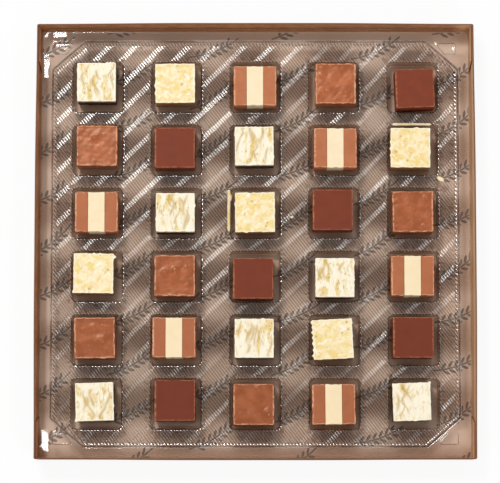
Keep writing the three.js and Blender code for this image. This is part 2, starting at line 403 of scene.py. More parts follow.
class Paint:
    """One procedural material, with the colour laid down so far and short ways to add nodes."""

    # Numbers of a mix node's sockets for its two colours and its result
    FIRST, SECOND, RESULT = 6, 7, 2

    def __init__(self, name):
        self.material = bpy.data.materials.new(name)
        self.material.use_nodes = True
        self.tree = self.material.node_tree
        self.tree.nodes.clear()
        self.place = self.node("ShaderNodeTexCoord").outputs["Object"]
        self.colour = None

    def node(self, kind, inputs=None, **settings):
        node = self.tree.nodes.new(kind)
        for key, setting in settings.items():
            setattr(node, key, setting)
        for key, term in (inputs or {}).items():
            feed(self.tree, node.inputs[key], term)
        return node

    def number(self, kind, output, inputs=None, **settings):
        """A varying number from one output of a new node."""
        return Value(self.tree, self.node(kind, inputs, **settings).outputs[output])

    def place_mm(self):
        """The place along X, Y and Z in millimetres."""
        split = self.node("ShaderNodeSeparateXYZ", {"Vector": self.place})
        return [Value(self.tree, socket) / MM for socket in split.outputs]

    def field(self, name):
        """A number that the mesh carries at its points."""
        return self.number("ShaderNodeAttribute", "Fac", attribute_name=name)

    def noise(self, size, detail=2.0, stretch=(1, 1, 1), distortion=0.0):
        """Noise from 0 to 1 with spots about size millimetres across."""
        mapping = self.node("ShaderNodeMapping", {"Vector": self.place, "Scale": stretch})
        inputs = {"Vector": mapping.outputs[0], "Scale": 1 / (size * MM)}
        inputs |= {"Detail": detail, "Distortion": distortion}
        return self.number("ShaderNodeTexNoise", "Fac", inputs)

    def mix(self, share, first, second):
        """A colour between first and second, which are codes or sockets."""
        first, second = (linear(term) if isinstance(term, str) else term for term in (first, second))
        inputs = {0: share, self.FIRST: first, self.SECOND: second}
        return self.node("ShaderNodeMix", inputs, data_type="RGBA").outputs[self.RESULT]

    def over(self, share, colour):
        """Lays a colour over the colour so far, by a share from 0 to 1."""
        self.colour = self.mix(share, self.colour, colour)

    def bump(self, height, depth, strength=1.0):
        """A normal from a height of 0 to 1 that stands for depth millimetres."""
        inputs = {"Height": height, "Distance": depth * MM, "Strength": strength}
        return self.node("ShaderNodeBump", inputs).outputs[0]

    def finish(self, shader):
        self.node("ShaderNodeOutputMaterial", {"Surface": shader.outputs[0]})
        return self.material

    def principled(self, rough, normal, gloss=0.5, tint="ffffff"):
        """Finishes the material as an opaque one in the colour so far."""
        inputs = {"Base Color": self.colour, "Roughness": rough, "Normal": normal}
        inputs |= {"Specular IOR Level": gloss, "Specular Tint": linear(tint)}
        return self.finish(self.node("ShaderNodeBsdfPrincipled", inputs))

    def blend(self, share, first, second):
        """Finishes the material as a mix of two shaders."""
        inputs = {0: share, 1: first.outputs[0], 2: second.outputs[0]}
        return self.finish(self.node("ShaderNodeMixShader", inputs))


# Materials of the carton and the insert
def print_inside():
    """Print inside the carton: dark sprigs on bronze-taupe and copper walls, with painted light where the
    aisles between the pockets cross, on the far margin and on the right wall.
    """
    paint = Paint("printed_card")
    x, y, z = paint.place_mm()
    grain = paint.noise(1.2, 4.0, (1, 5, 1))
    clouds = paint.noise(30, 2.0)
    paint.colour = paint.mix(grain.ramp(0.3, 0.7), "b59379", "c7a388")
    # Painted light where the aisles between the pockets cross
    paint.over(aisle_light(x, y) * clouds.ramp(0.3, 0.65, 0.5, 1.0), "f6dcc8")
    # Painted light on the far margin, where the back wall's shadow falls, growing towards the right
    paint.over(y.ramp(*FAR_MARGIN_LIGHT) * x.ramp(-70, 60, 0.25, 0.7), "f8dfc8")
    wall = paint.mix(paint.noise(4, 3.0).ramp(0.3, 0.7), "a86c40", "c4844f")
    # Painted light: the right wall, which faces the lamp, is made paler
    wall = paint.mix(x.ramp(*RIGHT_WALL_LIGHT, 0.0, 0.85), wall, "ecc296")
    paint.over(z.ramp(CARD + 0.4, CARD + 2.0), wall)
    on_floor = z.ramp(CARD + 0.3, CARD + 0.1)
    paint.over(sprig_mask(paint, x, y) * on_floor * 0.72, "2c1e14")
    normal = paint.bump(paint.noise(0.35, 3.0), 0.02, 0.5)
    return paint.principled(grain.ramp(0.2, 0.8, 0.38, 0.55), normal)


def aisle_light(x, y):
    """Painted light: 1 where the aisles between the pockets cross, falling to 0 beside and between the
    pockets.
    """
    column = (x * (2 * math.pi / PITCH_X)).math("COSINE").ramp(0.9, -1.0)
    row = (y * (2 * math.pi / PITCH_Y)).math("COSINE").ramp(-1.0, 0.9)
    return column * row


def sprig_mask(paint, x, y):
    """1 on the dark parts of the print: in each cell a stem with pairs of leaves, turned its own way."""
    column = (x / SPRIG_WIDE).math("FLOOR")
    shifted = y + abs(column.math("MODULO", 2.0)) * (SPRIG_TALL / 2)
    row = (shifted / SPRIG_TALL).math("FLOOR")
    cell = paint.node("ShaderNodeCombineXYZ", {"X": column, "Y": row}).outputs[0]
    random = paint.number("ShaderNodeTexWhiteNoise", "Value", {"Vector": cell}, noise_dimensions="2D")
    angle = (random - 0.5) * SPRIG_SPREAD + SPRIG_TURN
    u = x - (column + 0.5) * SPRIG_WIDE
    v = shifted - (row + 0.5) * SPRIG_TALL
    cosine = angle.math("COSINE")
    sine = angle.math("SINE")
    along = u * cosine + v * sine
    aside = abs(v * cosine - u * sine - along * along * STEM_BEND)
    stem = aside.ramp(*STEM_SIDE) * abs(along).ramp(*STEM_END)
    leaf_u = (along / LEAF_PITCH).math("FRACT") * LEAF_PITCH - LEAF_PITCH / 2
    leaf_v = aside - LEAF_OUT
    tilt_x, tilt_y = heading(LEAF_TILT).tolist()
    long = (leaf_u * tilt_x + leaf_v * tilt_y) / LEAF_LONG
    short = (leaf_v * tilt_x - leaf_u * tilt_y) / LEAF_WIDE
    leaves = (long ** 2.0 + short ** 2.0).ramp(*LEAF_SIDE) * abs(along).ramp(*LEAVES_END)
    return stem.most(leaves)


def card_outside():
    """Copper-brown satin outside of the carton, with paler scuffs."""
    paint = Paint("copper_card")
    fibre = paint.noise(0.8, 5.0, (1, 1, 4))
    scuff = paint.noise(6, 4.0)
    paint.colour = paint.mix(fibre.ramp(0.3, 0.7), "6b4026", "7d4e2f")
    paint.over(scuff.ramp(0.62, 0.75, 0.0, 0.4), "9a6a45")
    return paint.principled(scuff.ramp(0.3, 0.7, 0.35, 0.5), paint.bump(fibre, 0.02, 0.4))


def card_edge():
    """Cut edge of the card: brown fibres."""
    paint = Paint("card_cut_edge")
    fibre = paint.noise(0.3, 4.0)
    paint.colour = paint.mix(fibre, "5f3a24", "8b5b3a")
    return paint.principled(fibre.ramp(0.2, 0.8, 0.7, 0.9), paint.bump(fibre, 0.03))


def clear_plastic(name, rough, mirror, face_on, edge_on, lit_aisle_tint=None):
    """Clear sheet: a faint mirror that lets the rest through unbent, and is darker where seen edge on."""
    paint = Paint(name)
    haze = paint.noise(9, 3.0).ramp(0.4, 0.8, rough, rough + 0.06)
    gloss = paint.node("ShaderNodeBsdfGlossy", {"Color": WHITE, "Roughness": haze})
    facing = paint.number("ShaderNodeLayerWeight", "Facing", {"Blend": 0.3})
    # Painted light: where an aisle tint is given, the sheet lets more through where the aisles between the
    # pockets cross
    if lit_aisle_tint:
        x, y, _ = paint.place_mm()
        face_on = paint.mix(aisle_light(x, y), face_on, lit_aisle_tint)
    clear = paint.node("ShaderNodeBsdfTransparent", {"Color": paint.mix(facing, face_on, edge_on)})
    return paint.blend(paint.number("ShaderNodeFresnel", 0, {"IOR": 1.5}) * mirror, clear, gloss)


def clear_tint(name, first, second):
    """A face of clear sheet with no gloss of its own, that tints what is seen through it."""
    paint = Paint(name)
    tint = paint.mix(paint.noise(12, 2.0), first, second)
    return paint.finish(paint.node("ShaderNodeBsdfTransparent", {"Color": tint}))


# Materials of the chocolates
def plain_chocolate(slot, shade, light, deep, rim, rough=0.5, gloss=0.22, tint="ffffff"):
    """Smooth chocolate: faint clouds, fine grain, pale edges that are partly a painted highlight, and painted
    shade that deepens the tone in the near rows, where the lamp's light falls off.
    """
    paint = Paint(f"{slot}_chocolate")
    clouds = paint.noise(5, 3.0)
    paint.colour = paint.mix(clouds.ramp(0.3, 0.7), shade, light)
    # Painted shade: deeper in the nearer rows, where the lamp's light falls off
    paint.over(paint.field("near") * 0.4, deep)
    # Darker in pits; for the milk chocolate also painted shade in a band round the top's edges
    paint.over(paint.field("mark"), deep)
    # Pale rim: partly the chocolate's own paler edge, partly a painted highlight where the edge catches the
    # lamp
    paint.over(paint.field("rim") * paint.noise(1.4, 3.0).ramp(0.35, 0.6, 0.1, 1.0), rim)
    normal = paint.bump(paint.noise(0.6, 3.0), 0.04, 0.3)
    return paint.principled(clouds.ramp(0.3, 0.7, rough, rough + 0.1), normal, gloss, tint)


def marbled_white():
    """White chocolate with ochre and tan streaks that run along Y, dark specks and near-white edges that are
    partly a painted highlight.
    """
    paint = Paint("marbled_white")
    streak = paint.noise(3.6, 4.0, (1, 0.4, 1), 0.8)
    vein = paint.noise(1.3, 4.0, (1, 0.28, 1), 1.2)
    speck = paint.noise(0.8, 2.0, (1, 0.6, 1))
    paint.colour = paint.mix(streak.ramp(0.48, 0.64, 0.0, 0.9), "fcf2da", "eacb82")
    paint.over(vein.ramp(0.55, 0.7, 0.0, 0.75), "d6b85e")
    paint.over(streak.ramp(0.5, 0.6) * speck.ramp(0.58, 0.68, 0.0, 0.8), "a98c40")
    paint.over(paint.field("mark"), "c09a46")
    # Near-white edges: partly a painted highlight where the edge catches the lamp
    paint.over(paint.field("rim"), "fff8e0")
    normal = paint.bump(paint.noise(0.5, 4.0, (1, 0.4, 1)), 0.06, 0.4)
    return paint.principled(vein.ramp(0.3, 0.7, 0.42, 0.55), normal, 0.25)


def nutty_white():
    """Pale yellow chocolate with ochre blotches, white blobs and olive specks of chopped nut."""
    paint = Paint("nutty_white")
    blotch = paint.noise(3.2, 3.0, distortion=0.8)
    spot = paint.noise(2.4, 2.5, distortion=0.8)
    speck = paint.noise(0.9, 2.0)
    paint.colour = paint.mix(blotch.ramp(0.36, 0.66), "fcebc2", "f2d688")
    paint.over(spot.ramp(0.54, 0.7, 0.0, 0.6), "f6d4a2")
    paint.over(spot.ramp(0.44, 0.32, 0.0, 0.9), "fff3e2")
    paint.over(blotch.ramp(0.46, 0.56) * speck.ramp(0.64, 0.74, 0.0, 0.7), "b09a40")
    paint.over(paint.field("side"), "94622f")
    paint.over(paint.field("mark"), "80652a")
    # Pale edges: partly a painted highlight where the edge catches the lamp
    paint.over(paint.field("rim") * 0.9, "fff8dc")
    normal = paint.bump(paint.noise(0.7, 4.0), 0.08, 0.4)
    return paint.principled(blotch.ramp(0.3, 0.7, 0.35, 0.5), normal, 0.3)


# Finishes of the card by number
INSIDE, OUTSIDE, CUT = range(3)


# Carton
def carton():
    """The folded card: leaning walls with round folds, cut top edges, and a glued flap at each corner."""
    surface = Surface()
    top = carton_high[2]

    def wall(z, inset):
        half = carton_high[:2] - WALL_LEAN + WALL_LEAN * z / top - FOLD
        plan = Outline(square(*half), FOLD_CORNER, [WALL_STEPS] * 4, 3).at(FOLD - inset)
        return surface.loop(bowed(plan, z / top), z)

    def bowed(plan, share):
        """Draws the walls in towards the corners, where the folds hold them."""
        away = np.abs(plan).max(axis=0) - np.abs(plan)
        on_wall = np.clip(1 - away / 2, 0, 1)
        return plan - np.sign(plan) * on_wall * tuck(away[:, ::-1], share)

    # Height and inset of each loop
    outside = [(0, FOLD), (0.12, FOLD * 0.45), (0.4, FOLD * 0.12), (FOLD, 0), (6, 0), (12, 0)]
    outside += [(top - 0.12, 0)]
    edge = [(top, EDGE_ROUND), (top, CARD - EDGE_ROUND)]
    inside = [(top - 0.12, CARD), (12, CARD), (6, CARD), (CARD + FOLD, CARD), (CARD + 0.3, CARD + 0.15)]
    inside += [(CARD + 0.06, CARD + 0.5), (CARD, CARD + FOLD)]
    loops = [wall(z, inset) for z, inset in outside + edge + inside]
    finishes = [OUTSIDE] * (len(outside) - 1) + [CUT] * (len(edge) + 1) + [INSIDE] * (len(inside) - 1)
    for surface.paint, lower, upper in zip(finishes, loops, loops[1:]):
        surface.ring(lower, upper)
    surface.face(loops[-1])
    surface.paint = OUTSIDE
    surface.face(loops[0], up=False)
    for side_x, side_y in SIDES:
        flap(surface, side_x, side_y)
    materials = [print_inside(), card_outside(), card_edge()]
    piece("carton", surface, "carton", materials, ["carton_base"], crease=35)


def tuck(from_corner, share):
    """How far a wall stands in at this distance from its corner and this share of its height."""
    return CORNER_TUCK * share * (1 - smooth(np.clip(from_corner / BOW_REACH, 0, 1)))


def flap(surface, side_x, side_y):
    """A glued flap of card inside one end of a side wall, with its cut edge showing."""
    top = carton_high[2]
    high = top - FLAP_DROP
    corners = [(0, CARD), (FLAP_LENGTH, CARD), (FLAP_LENGTH - FLAP_TAPER, high), (0, high)]
    outline = Outline(corners, FLAP_CORNER, [6] * 4, 3)

    def layer(depth, reach):
        along, z = outline.at(reach).T
        lean = WALL_LEAN * z / top - WALL_LEAN
        x = side_x * (carton_high[0] + lean - CARD - depth - tuck(along, z / top))
        y = side_y * (carton_high[1] + lean - CARD - along)
        return surface.loop(np.stack([x, y], axis=1), z)

    loops = [layer(0.0, 0.0), layer(CARD - FLAP_ROUND, 0.0), layer(CARD, -FLAP_ROUND)]
    up = side_x * side_y < 0
    surface.paint = CUT
    surface.rings(loops, up)
    surface.paint = INSIDE
    surface.face(loops[-1], up)
    surface.face(loops[0], not up)


# Insert
def pocket_centre(row, column):
    x = (column - (COLUMNS - 1) / 2) * PITCH_X
    return np.array([x, ((ROWS - 1) / 2 - row) * PITCH_Y + GRID_SHIFT])


def wave_place(plan):
    """How many waves lie between each point and the middle, with a slow drift."""
    x, y = plan.T
    drift = 0.6 * np.sin(x / 23) + 0.7 * np.sin(y / 31 + x / 57)
    return -across(plan, WAVE_ANGLE) / WAVE_PITCH - drift / (2 * math.pi)


def wave_relief(plan):
    """Broad waves: a short face that looks to the back left, then a long one, steeper to the front right."""
    shape = np.interp(wave_place(plan) % 1, (0, WAVE_FACE, 1), (-1, 1, -1))
    slope = WAVE_SLOPE + WAVE_GROWTH * np.maximum(WAVE_EVEN - across(plan, WAVE_ANGLE), 0)
    return slope * (1 + humps(plan, *WAVE_HUMPS)) * WAVE_FACE * WAVE_PITCH / 2 * shape


def rib_place(plan):
    """How many ribs lie between each point and the middle."""
    return across(plan, RIB_ANGLE) / RIB_PITCH


def rib_relief(plan):
    place = rib_place(plan) % 1
    from_groove = np.minimum(place, 1 - place) / RIB_FLANK
    return -RIB_DEPTH * np.clip(1 - from_groove, 0, 1)


def finish_ribs(surface, first):
    """Gives the triangles from the first on round crowns and crisp grooves, each with its own finish."""
    plan = surface.corner_plan(first)
    place = rib_place(plan).reshape(-1, 3)
    middle = place.mean(axis=1, keepdims=True)
    from_crown = middle % 1 - 0.5
    on_crown = np.abs(from_crown) < HALF_CROWN
    crown = -CROWN_SLOPE * (place - np.floor(middle) - 0.5) / HALF_CROWN
    flank = -np.sign(from_crown) * RIB_DEPTH / (RIB_FLANK * RIB_PITCH)
    slope = np.where(on_crown, crown, flank).reshape(-1, 1)
    rises = [wave_relief(plan + shift) - wave_relief(plan - shift) for shift in np.eye(2) * SLOPE_STEP]
    surface.tilt(first, np.stack(rises, axis=1) / (2 * SLOPE_STEP) + slope * heading(RIB_ANGLE + 90))
    # Painted shade: the grooves take a darker tint than the crowns
    surface.paints[first:] = np.where(on_crown.ravel(), THIN, GROOVE).tolist()


def finish_rims(surface, first):
    """Makes the faces of a rim, from the first on, into round ends of ribs with a gap between each two."""
    place = rib_place(surface.corner_plan(first))
    middle = place.reshape(-1, 4).mean(axis=1) % 1
    # Painted shade: the gaps between rib ends take a darker tint
    surface.paints[first:] = np.where(np.abs(middle - 0.5) < HALF_CROWN, RIM, GAP).tolist()
    fall = -END_SLOPE * np.sin(2 * math.pi * (place - 0.5))[:, None] * heading(RIB_ANGLE + 90)
    surface.tilt(first, fall + np.array([surface.leans[n] for n in surface.corners(first)]))


def rib_points():
    """Points on the edges of the ribs where the waves turn."""
    def places(pitch, shares):
        count = int(field_reach / pitch)
        return (np.arange(-count, count)[:, None] + shares).ravel()

    ribs, turns = np.meshgrid(places(RIB_PITCH, RIB_PLACES), places(WAVE_PITCH, WAVE_PLACES))
    lines, turns = ribs.ravel() * RIB_PITCH, turns.ravel()
    along = np.zeros(len(lines))
    angle = math.radians(RIB_ANGLE)
    pace = math.sin(math.radians(WAVE_ANGLE) - angle) / WAVE_PITCH
    for _ in range(6):
        along += (turns - wave_place(turned(along, lines, angle))) / pace
    return turned(along, lines, angle)


def in_field(plan, reach):
    """Which points lie inside the field's outline grown by reach."""
    half = FIELD_HALF + reach
    from_middle = np.abs(plan - FIELD_SHIFT)
    in_chamfers = (from_middle / FIELD_CHAMFER).sum(axis=1) < (half / FIELD_CHAMFER).sum() - 1
    return (from_middle < half).all(axis=1) & in_chamfers


def on_field(plan, clear):
    """The points that lie on the field, clear of its edge and of the pockets."""
    keep = in_field(plan, STEP_PROFILE[0][0] - clear)
    open_half = POCKET_MOUTH / 2 + POCKET_PROFILE[0][0] + clear
    for place in POCKETS:
        keep &= np.abs(plan - pocket_centre(*place)).max(axis=1) > open_half
    return plan[keep]


def field_corners():
    x, y = FIELD_HALF
    near_x, near_y = FIELD_HALF - FIELD_CHAMFER
    corners = [(x, near_y), (near_x, y), (-near_x, y), (-x, near_y)]
    corners += [(-x, -near_y), (-near_x, -y), (near_x, -y), (x, -near_y)]
    return np.array(corners) + FIELD_SHIFT


def pad_corners(side_x, side_y):
    x, y = FIELD_HALF - PAD_INSET
    corners = [(x, y), (x - PAD_LONG, y), (x - PAD_SHORT, y - PAD_DEPTH), (x, y - PAD_DEPTH)]
    placed = np.array(corners) * (side_x, side_y) + FIELD_SHIFT
    return placed if side_x * side_y > 0 else placed[::-1]


# Profiles of the sheet's upper face: reach out from the outline, rise, and the slope's angle in degrees,
# which is positive where the face looks in towards the outline's middle
POCKET_PROFILE = [
    (0.95, 0.0, 0), (0.65, -0.035, 11), (0.37, -0.115, 20), (0.12, -0.28, 47), (0.0, -0.6, 78),
    (-0.42, -6.7, 86), (-0.6, -7.15, 50), (-1.0, -7.36, 12), (-1.6, -POCKET_DEPTH, 0),
]
STEP_PROFILE = [
    (-1.4, 0.0, 0), (-1.0, 0.05, 13), (-0.55, 0.18, 19), (-0.2, 0.35, 30), (0.08, 0.64, 58),
    (0.52, 1.9, 75), (0.7, 2.28, 45), (1.0, FIELD_DROP, 0),
]
LIP_PROFILE = [(-0.6, 0.0, 0), (-0.2, -0.1, -40), (0.0, -0.45, -80), (0.0, -1.6, -90)]
PAD_PROFILE = [
    (0.1, 0.0, 0), (-0.05, 0.1, -45), (-0.18, 0.55, -72), (-0.36, 0.75, -40), (-0.7, PAD_HEIGHT, 0),
]

# How many loops of a profile carry the ribs, and the loop where the step's upper bend begins
FINE_LOOPS = 4
STEP_BEND = 5

# Finishes of the sheet by number
SOLID, THIN, UNDER, GROOVE, RIM, GAP = range(6)


def under(profile, thickness):
    """A profile's reach and rise at a depth of thickness under the upper face."""
    reaches, rises, slopes = np.array(profile).T
    slopes = np.radians(slopes)
    return zip(reaches + thickness * np.sin(slopes), rises - thickness * np.cos(slopes))


def sheet_side(surface, thickness, detail):
    """One face of the insert: the upper one, with thickness 0 and ribs, or the lower. Gives the lip's end."""
    up = thickness == 0
    holes = [pocket(surface, pocket_centre(*place), thickness, detail) for place in POCKETS]
    steps = [max(2, round(length / detail["edge"])) for length in FIELD_SIDES]
    shape = (field_corners(), FIELD_CORNER, steps, STEP_PROFILE)
    step_loops = profile_loops(surface, *shape, thickness, detail)
    if detail["ribs"]:
        free = on_field(rib_points(), RIBS_CLEAR)
        relief = wave_relief(free) + rib_relief(free)
    else:
        lines = grid((field_reach, field_reach), LOWER_GRID)
        free = on_field(turned(*lines.T, math.radians(WAVE_ANGLE)), LOWER_CLEAR)
        relief = wave_relief(free)
    surface.paint = THIN if up else UNDER
    first = len(surface.faces)
    surface.fill(step_loops[0], holes, surface.loop(free, field_top - thickness + relief), up)
    if detail["ribs"]:
        finish_ribs(surface, first)
    bend = RIM if up else SOLID
    surface.paint = SOLID
    join_loops(surface, step_loops[:STEP_BEND + 1], not up, detail)
    surface.paint = bend
    surface.rings(step_loops[STEP_BEND:], not up)
    pads = [pad(surface, *side, thickness, bend) for side in SIDES]
    flange_outline = Outline(square(*insert_high[:2]), FLANGE_CORNER, [FLANGE_STEPS] * 4, 12)
    lip_loops = []
    for reach, rise in under(LIP_PROFILE, thickness):
        plan = flange_outline.at(reach)
        warp = flange_warp(plan) * (1 + rise / 2)
        lip_loops.append(surface.loop(plan, flange_top + rise + warp))
    free = flange_points()
    heights = flange_top - thickness + flange_warp(free)
    surface.paint = SOLID if up else UNDER
    surface.fill(lip_loops[0], [step_loops[-1], *pads], surface.loop(free, heights), up)
    surface.paint = bend
    surface.rings(lip_loops, not up)
    surface.paint = SOLID
    return lip_loops[-1]


def profile_loops(surface, corners, radius, steps, profile, thickness, detail):
    """Loops along a profile that starts on the field, whose relief fades out over the first, finer, ones."""
    coarse = Outline(corners, radius, steps, 3)
    fine = Outline(corners, radius, [3 * count for count in steps], 9)
    loops = []
    for i, (reach, rise) in enumerate(under(profile, thickness)):
        outline = fine if detail["ribs"] and i < FINE_LOOPS else coarse
        plan = outline.at(reach)
        relief = wave_relief(plan) + (rib_relief(plan) if detail["ribs"] else 0)
        loops.append(surface.loop(plan, field_top + rise + relief * max(0.0, 1 - i / FINE_LOOPS)))
        if outline is fine:
            lean = unit(outline.at(reach + 0.05) - plan) * math.tan(math.radians(profile[i][2]))
            surface.leans.update(zip(loops[-1].tolist(), lean))
    return loops


def join_loops(surface, loops, up, detail):
    """Faces between loops, the first few with the ends of the ribs."""
    first = len(surface.faces)
    surface.rings(loops[:FINE_LOOPS], up)
    if detail["ribs"]:
        finish_rims(surface, first)
    surface.rings(loops[FINE_LOOPS - 1:], up)


def pocket(surface, centre, thickness, detail):
    """One pocket's rim, walls and floor. Gives the loop where it leaves the field."""
    up = thickness == 0
    corners = np.array(square(POCKET_MOUTH / 2, POCKET_MOUTH / 2)) + centre
    shape = (corners, POCKET_CORNER, [detail["pocket"]] * 4, POCKET_PROFILE)
    loops = profile_loops(surface, *shape, thickness, detail)
    surface.paint = SOLID
    join_loops(surface, loops, up, detail)
    surface.face(loops[-1], up)
    return loops[0]


def pad(surface, side_x, side_y, thickness, bend):
    """A raised four-cornered pad on the flange, with this finish on its bends. Gives its foot's loop."""
    up = thickness == 0
    outline = Outline(pad_corners(side_x, side_y), PAD_CORNER, [8] * 4, 5)
    profile = under(PAD_PROFILE, thickness)
    loops = [surface.loop(outline.at(reach), flange_top + rise) for reach, rise in profile]
    surface.paint = bend
    surface.rings(loops, up)
    surface.paint = SOLID
    surface.face(loops[-1], up)
    return loops[0]


# Tilted patches of the flange: middle, reach each way, and slope along X and along Y
PATCHES = [
    (-88.2, 94.0, 3.9, 2.4, 0.049, -0.073), (-94.2, 78.0, 2.3, 5.6, 0.042, -0.086),
    (-93.9, -89.6, 2.3, 5.4, 0.037, -0.225),
]


def flange_points():
    """Free points over the flange, closer on its patches, and clear of its edges and of the pads."""
    coarse = grid(insert_high[:2], FLANGE_GRID)
    fine = []
    for patch in PATCHES:
        middle, reach = np.array(patch[:2]), np.array(patch[2:4]) + PATCH_BAND
        coarse = coarse[(np.abs(coarse - middle) > reach + PATCH_CLEAR).any(axis=1)]
        fine.append(grid(reach, PATCH_GRID) + middle)
    plan = np.concatenate([coarse, *fine])
    from_edge = np.abs(plan) - insert_high[:2]
    in_lip = (from_edge < -LIP_CLEAR).all(axis=1)
    in_lip &= np.hypot(*np.maximum(from_edge + FLANGE_CORNER, 0).T) < FLANGE_CORNER - LIP_CLEAR
    along, down = (FIELD_HALF - PAD_INSET - np.abs(plan - FIELD_SHIFT)).T
    pad_end = PAD_LONG - (PAD_LONG - PAD_SHORT) * down / PAD_DEPTH
    on_pad = (along > -PAD_CLEAR) & (along < pad_end + PAD_END_CLEAR)
    on_pad &= (down > -PAD_CLEAR) & (down < PAD_DEPTH + PAD_CLEAR)
    return plan[in_lip & ~in_field(plan, STEP_CLEAR) & ~on_pad]


def flange_warp(plan):
    """The thin flange isn't quite flat: slow swells along it, and tilted patches near two corners."""
    rise = humps(plan, *FLANGE_HUMPS)
    for patch in PATCHES:
        middle, reach, slope = np.array(patch).reshape(3, 2)
        away = plan - middle
        inside = np.clip(6 - 6 * (np.abs(away) / reach).max(axis=1), 0, 1)
        rise = rise + smooth(inside) * (np.abs(slope) @ reach + away @ slope)
    return rise


def insert():
    """The clear sheet as one closed shell: ribbed upper face, plainer lower face, joined along the lip."""
    surface = Surface()
    upper = sheet_side(surface, 0, {"ribs": True, "pocket": 14, "edge": 1.2})
    lower = sheet_side(surface, SHEET, {"ribs": False, "pocket": 5, "edge": 5.0})
    surface.ring(upper, lower, up=False)
    # The field's crowns tint the card darker than the walls do, except where the aisles cross: painted shade
    # and painted light. Grooves, and the gaps between rib ends on the rims, tint it darker still: painted
    # shade.
    materials = [
        clear_plastic("clear_wall_plastic", 0.1, 0.7, "fefdfc", "f4efea"),
        clear_plastic("clear_flat_plastic", 0.2, 2.0, "dedad6", "d8d4d0", "fdfcfa"),
        clear_tint("clear_under_plastic", "fcfbf9", "fefdfc"),
        clear_plastic("clear_groove_plastic", 0.25, 0.5, "b8b2ac", "b0aaa4", "dad5d0"),
        clear_plastic("clear_rim_plastic", 0.17, 3.6, "fbfaf9", "f0ece8"),
        clear_tint("clear_gap_plastic", "b2aba4", "beb7b0"),
    ]
    piece("insert_sheet", surface, "insert", materials, insert_nodes)


# Chocolates: how each is turned in degrees, where it isn't straight
TURNS = {
    "r1c2": 0.5, "r1c5": 2, "r2c3": 0.5, "r3c3": 0.5, "r4c1": -0.5, "r5c1": 0.5, "r5c4": 3, "r6c1": 1.6,
    "r6c4": 0.5, "r6c5": 2,
}
# Burrs on top edges: place, how far each stands out and how wide it is
BURRS = {
    "r1c1": [(4.8, 8.7, 0.5, 0.45), (6.2, 8.7, 0.65, 0.4), (7.6, 8.7, 0.45, 0.4)],
    "r1c2": [(-9, -1.2, 0.6, 0.9), (-9, -4.6, 0.45, 0.6), (-9, 3.5, 0.3, 0.8)],
    "r2c3": [(-8.7, 5, 0.3, 0.6), (8.7, -5, 0.35, 0.7), (-2, -8.7, 0.3, 1.0)],
    "r2c5": [(-9, 2.5, 0.5, 0.5), (-9, -0.4, 0.6, 0.45), (-9, -3.4, 0.4, 0.5), (3, 9, 0.4, 0.8)],
    "r3c2": [(8.7, 3, 0.35, 0.7), (-8.7, -3, 0.3, 0.6)],
    "r3c3": [(9, 5.5, 0.4, 0.7), (-9, 4, 0.4, 0.8), (-4, -9, 0.35, 0.9)],
    "r4c1": [
        (8.8, 7.4, 1.4, 0.7), (-3.4, 9, 0.5, 0.45), (0.2, 9, 0.6, 0.45), (3, 9, 0.4, 0.5),
        (-8.8, -8.2, 0.6, 0.6),
    ],
    "r4c4": [(8.7, -1, 0.4, 0.6), (-8.7, 6, 0.35, 0.6)],
    "r5c3": [(-8.7, 1, 0.35, 0.7), (4, 8.7, 0.3, 0.7)],
    "r5c4": [
        (-9, 7.8, 1.0, 0.7), (-9, 5.6, 0.5, 0.6), (-9, 3.4, 0.8, 0.5), (-9, 1.0, 0.5, 0.6),
        (-9, -1.6, 0.9, 0.6), (-9, -4.4, 0.7, 0.5), (-9, -7.0, 0.9, 0.6), (8.9, 7, 0.4, 0.6),
    ],
    "r6c1": [(-8.5, -8.3, 0.7, 0.7), (8.7, -2, 0.4, 0.5)],
    "r6c5": [(8.3, 8.4, 0.7, 0.6), (1, -8.7, 0.45, 0.8)],
}
# Nuts that show through the top of a milk chocolate: place and size
NUTS = {
    "r1c4": [(-6.2, 3.7, 1.2), (-6.0, -3.6, 1.1), (-3.2, -3.2, 1.0)],
    "r2c1": [(-1, 3.3, 1.2)],
    "r3c5": [(5.4, -6.3, 1.0), (6.0, 6.5, 0.9), (-6.6, 5.0, 0.9)],
    "r4c2": [(-4.5, 1.5, 1.4), (0.2, 2.6, 1.4), (0.4, 0.4, 1.3)],
    "r5c1": [(-0.9, 4.4, 1.1), (3.0, -0.9, 1.1)],
    "r6c3": [(2.0, 7.0, 1.1), (6.2, -3.4, 1.3)],
}
# Layers of a layered chocolate: steps across, and the width of the pale rim, partly a painted highlight, on
# its left and right
LAYERS = {"left": (22, 0.75, 0), "centre": (26, 0, 0), "right": (22, 0, 0.45)}
# Plain chocolates: shade, light, deep (also the painted shade of the nearer rows) and rim (a pale edge,
# partly a painted highlight), and where it isn't the usual, roughness, gloss and its tint
PLAIN = {
    "dark": ("79341c", "81391f", "5e2413", "bd7856"),
    "milk_nut": ("9e522c", "ba683f", "783a1e", "e2a07a", 0.29, 0.6, "ffdcc0"),
    "dark_body": ("3c190f", "4a2014", "2c120a", "6e3a26"),
    "milk_layer": ("b66c46", "be764e", "8a4a2c", "e8ac88"),
    "cream_layer": ("f7e1b9", "fbe7c3", "f5dbae", "fff1d4"),
}
# Steps across, back and up of a whole chocolate, a marbled body and a marbled top
WHOLE, BODY, TOP = (52, 52, 16), (26, 26, 10), (52, 52, 8)
FIELDS = ("rim", "mark", "side", "near")
SOFT_CREASE = 70


def crowded(count):
    """Places from -1 to 1, closer together towards both ends."""
    even = np.linspace(-1, 1, count + 1)
    return 0.45 * even + 0.55 * np.sin(even * math.pi / 2)


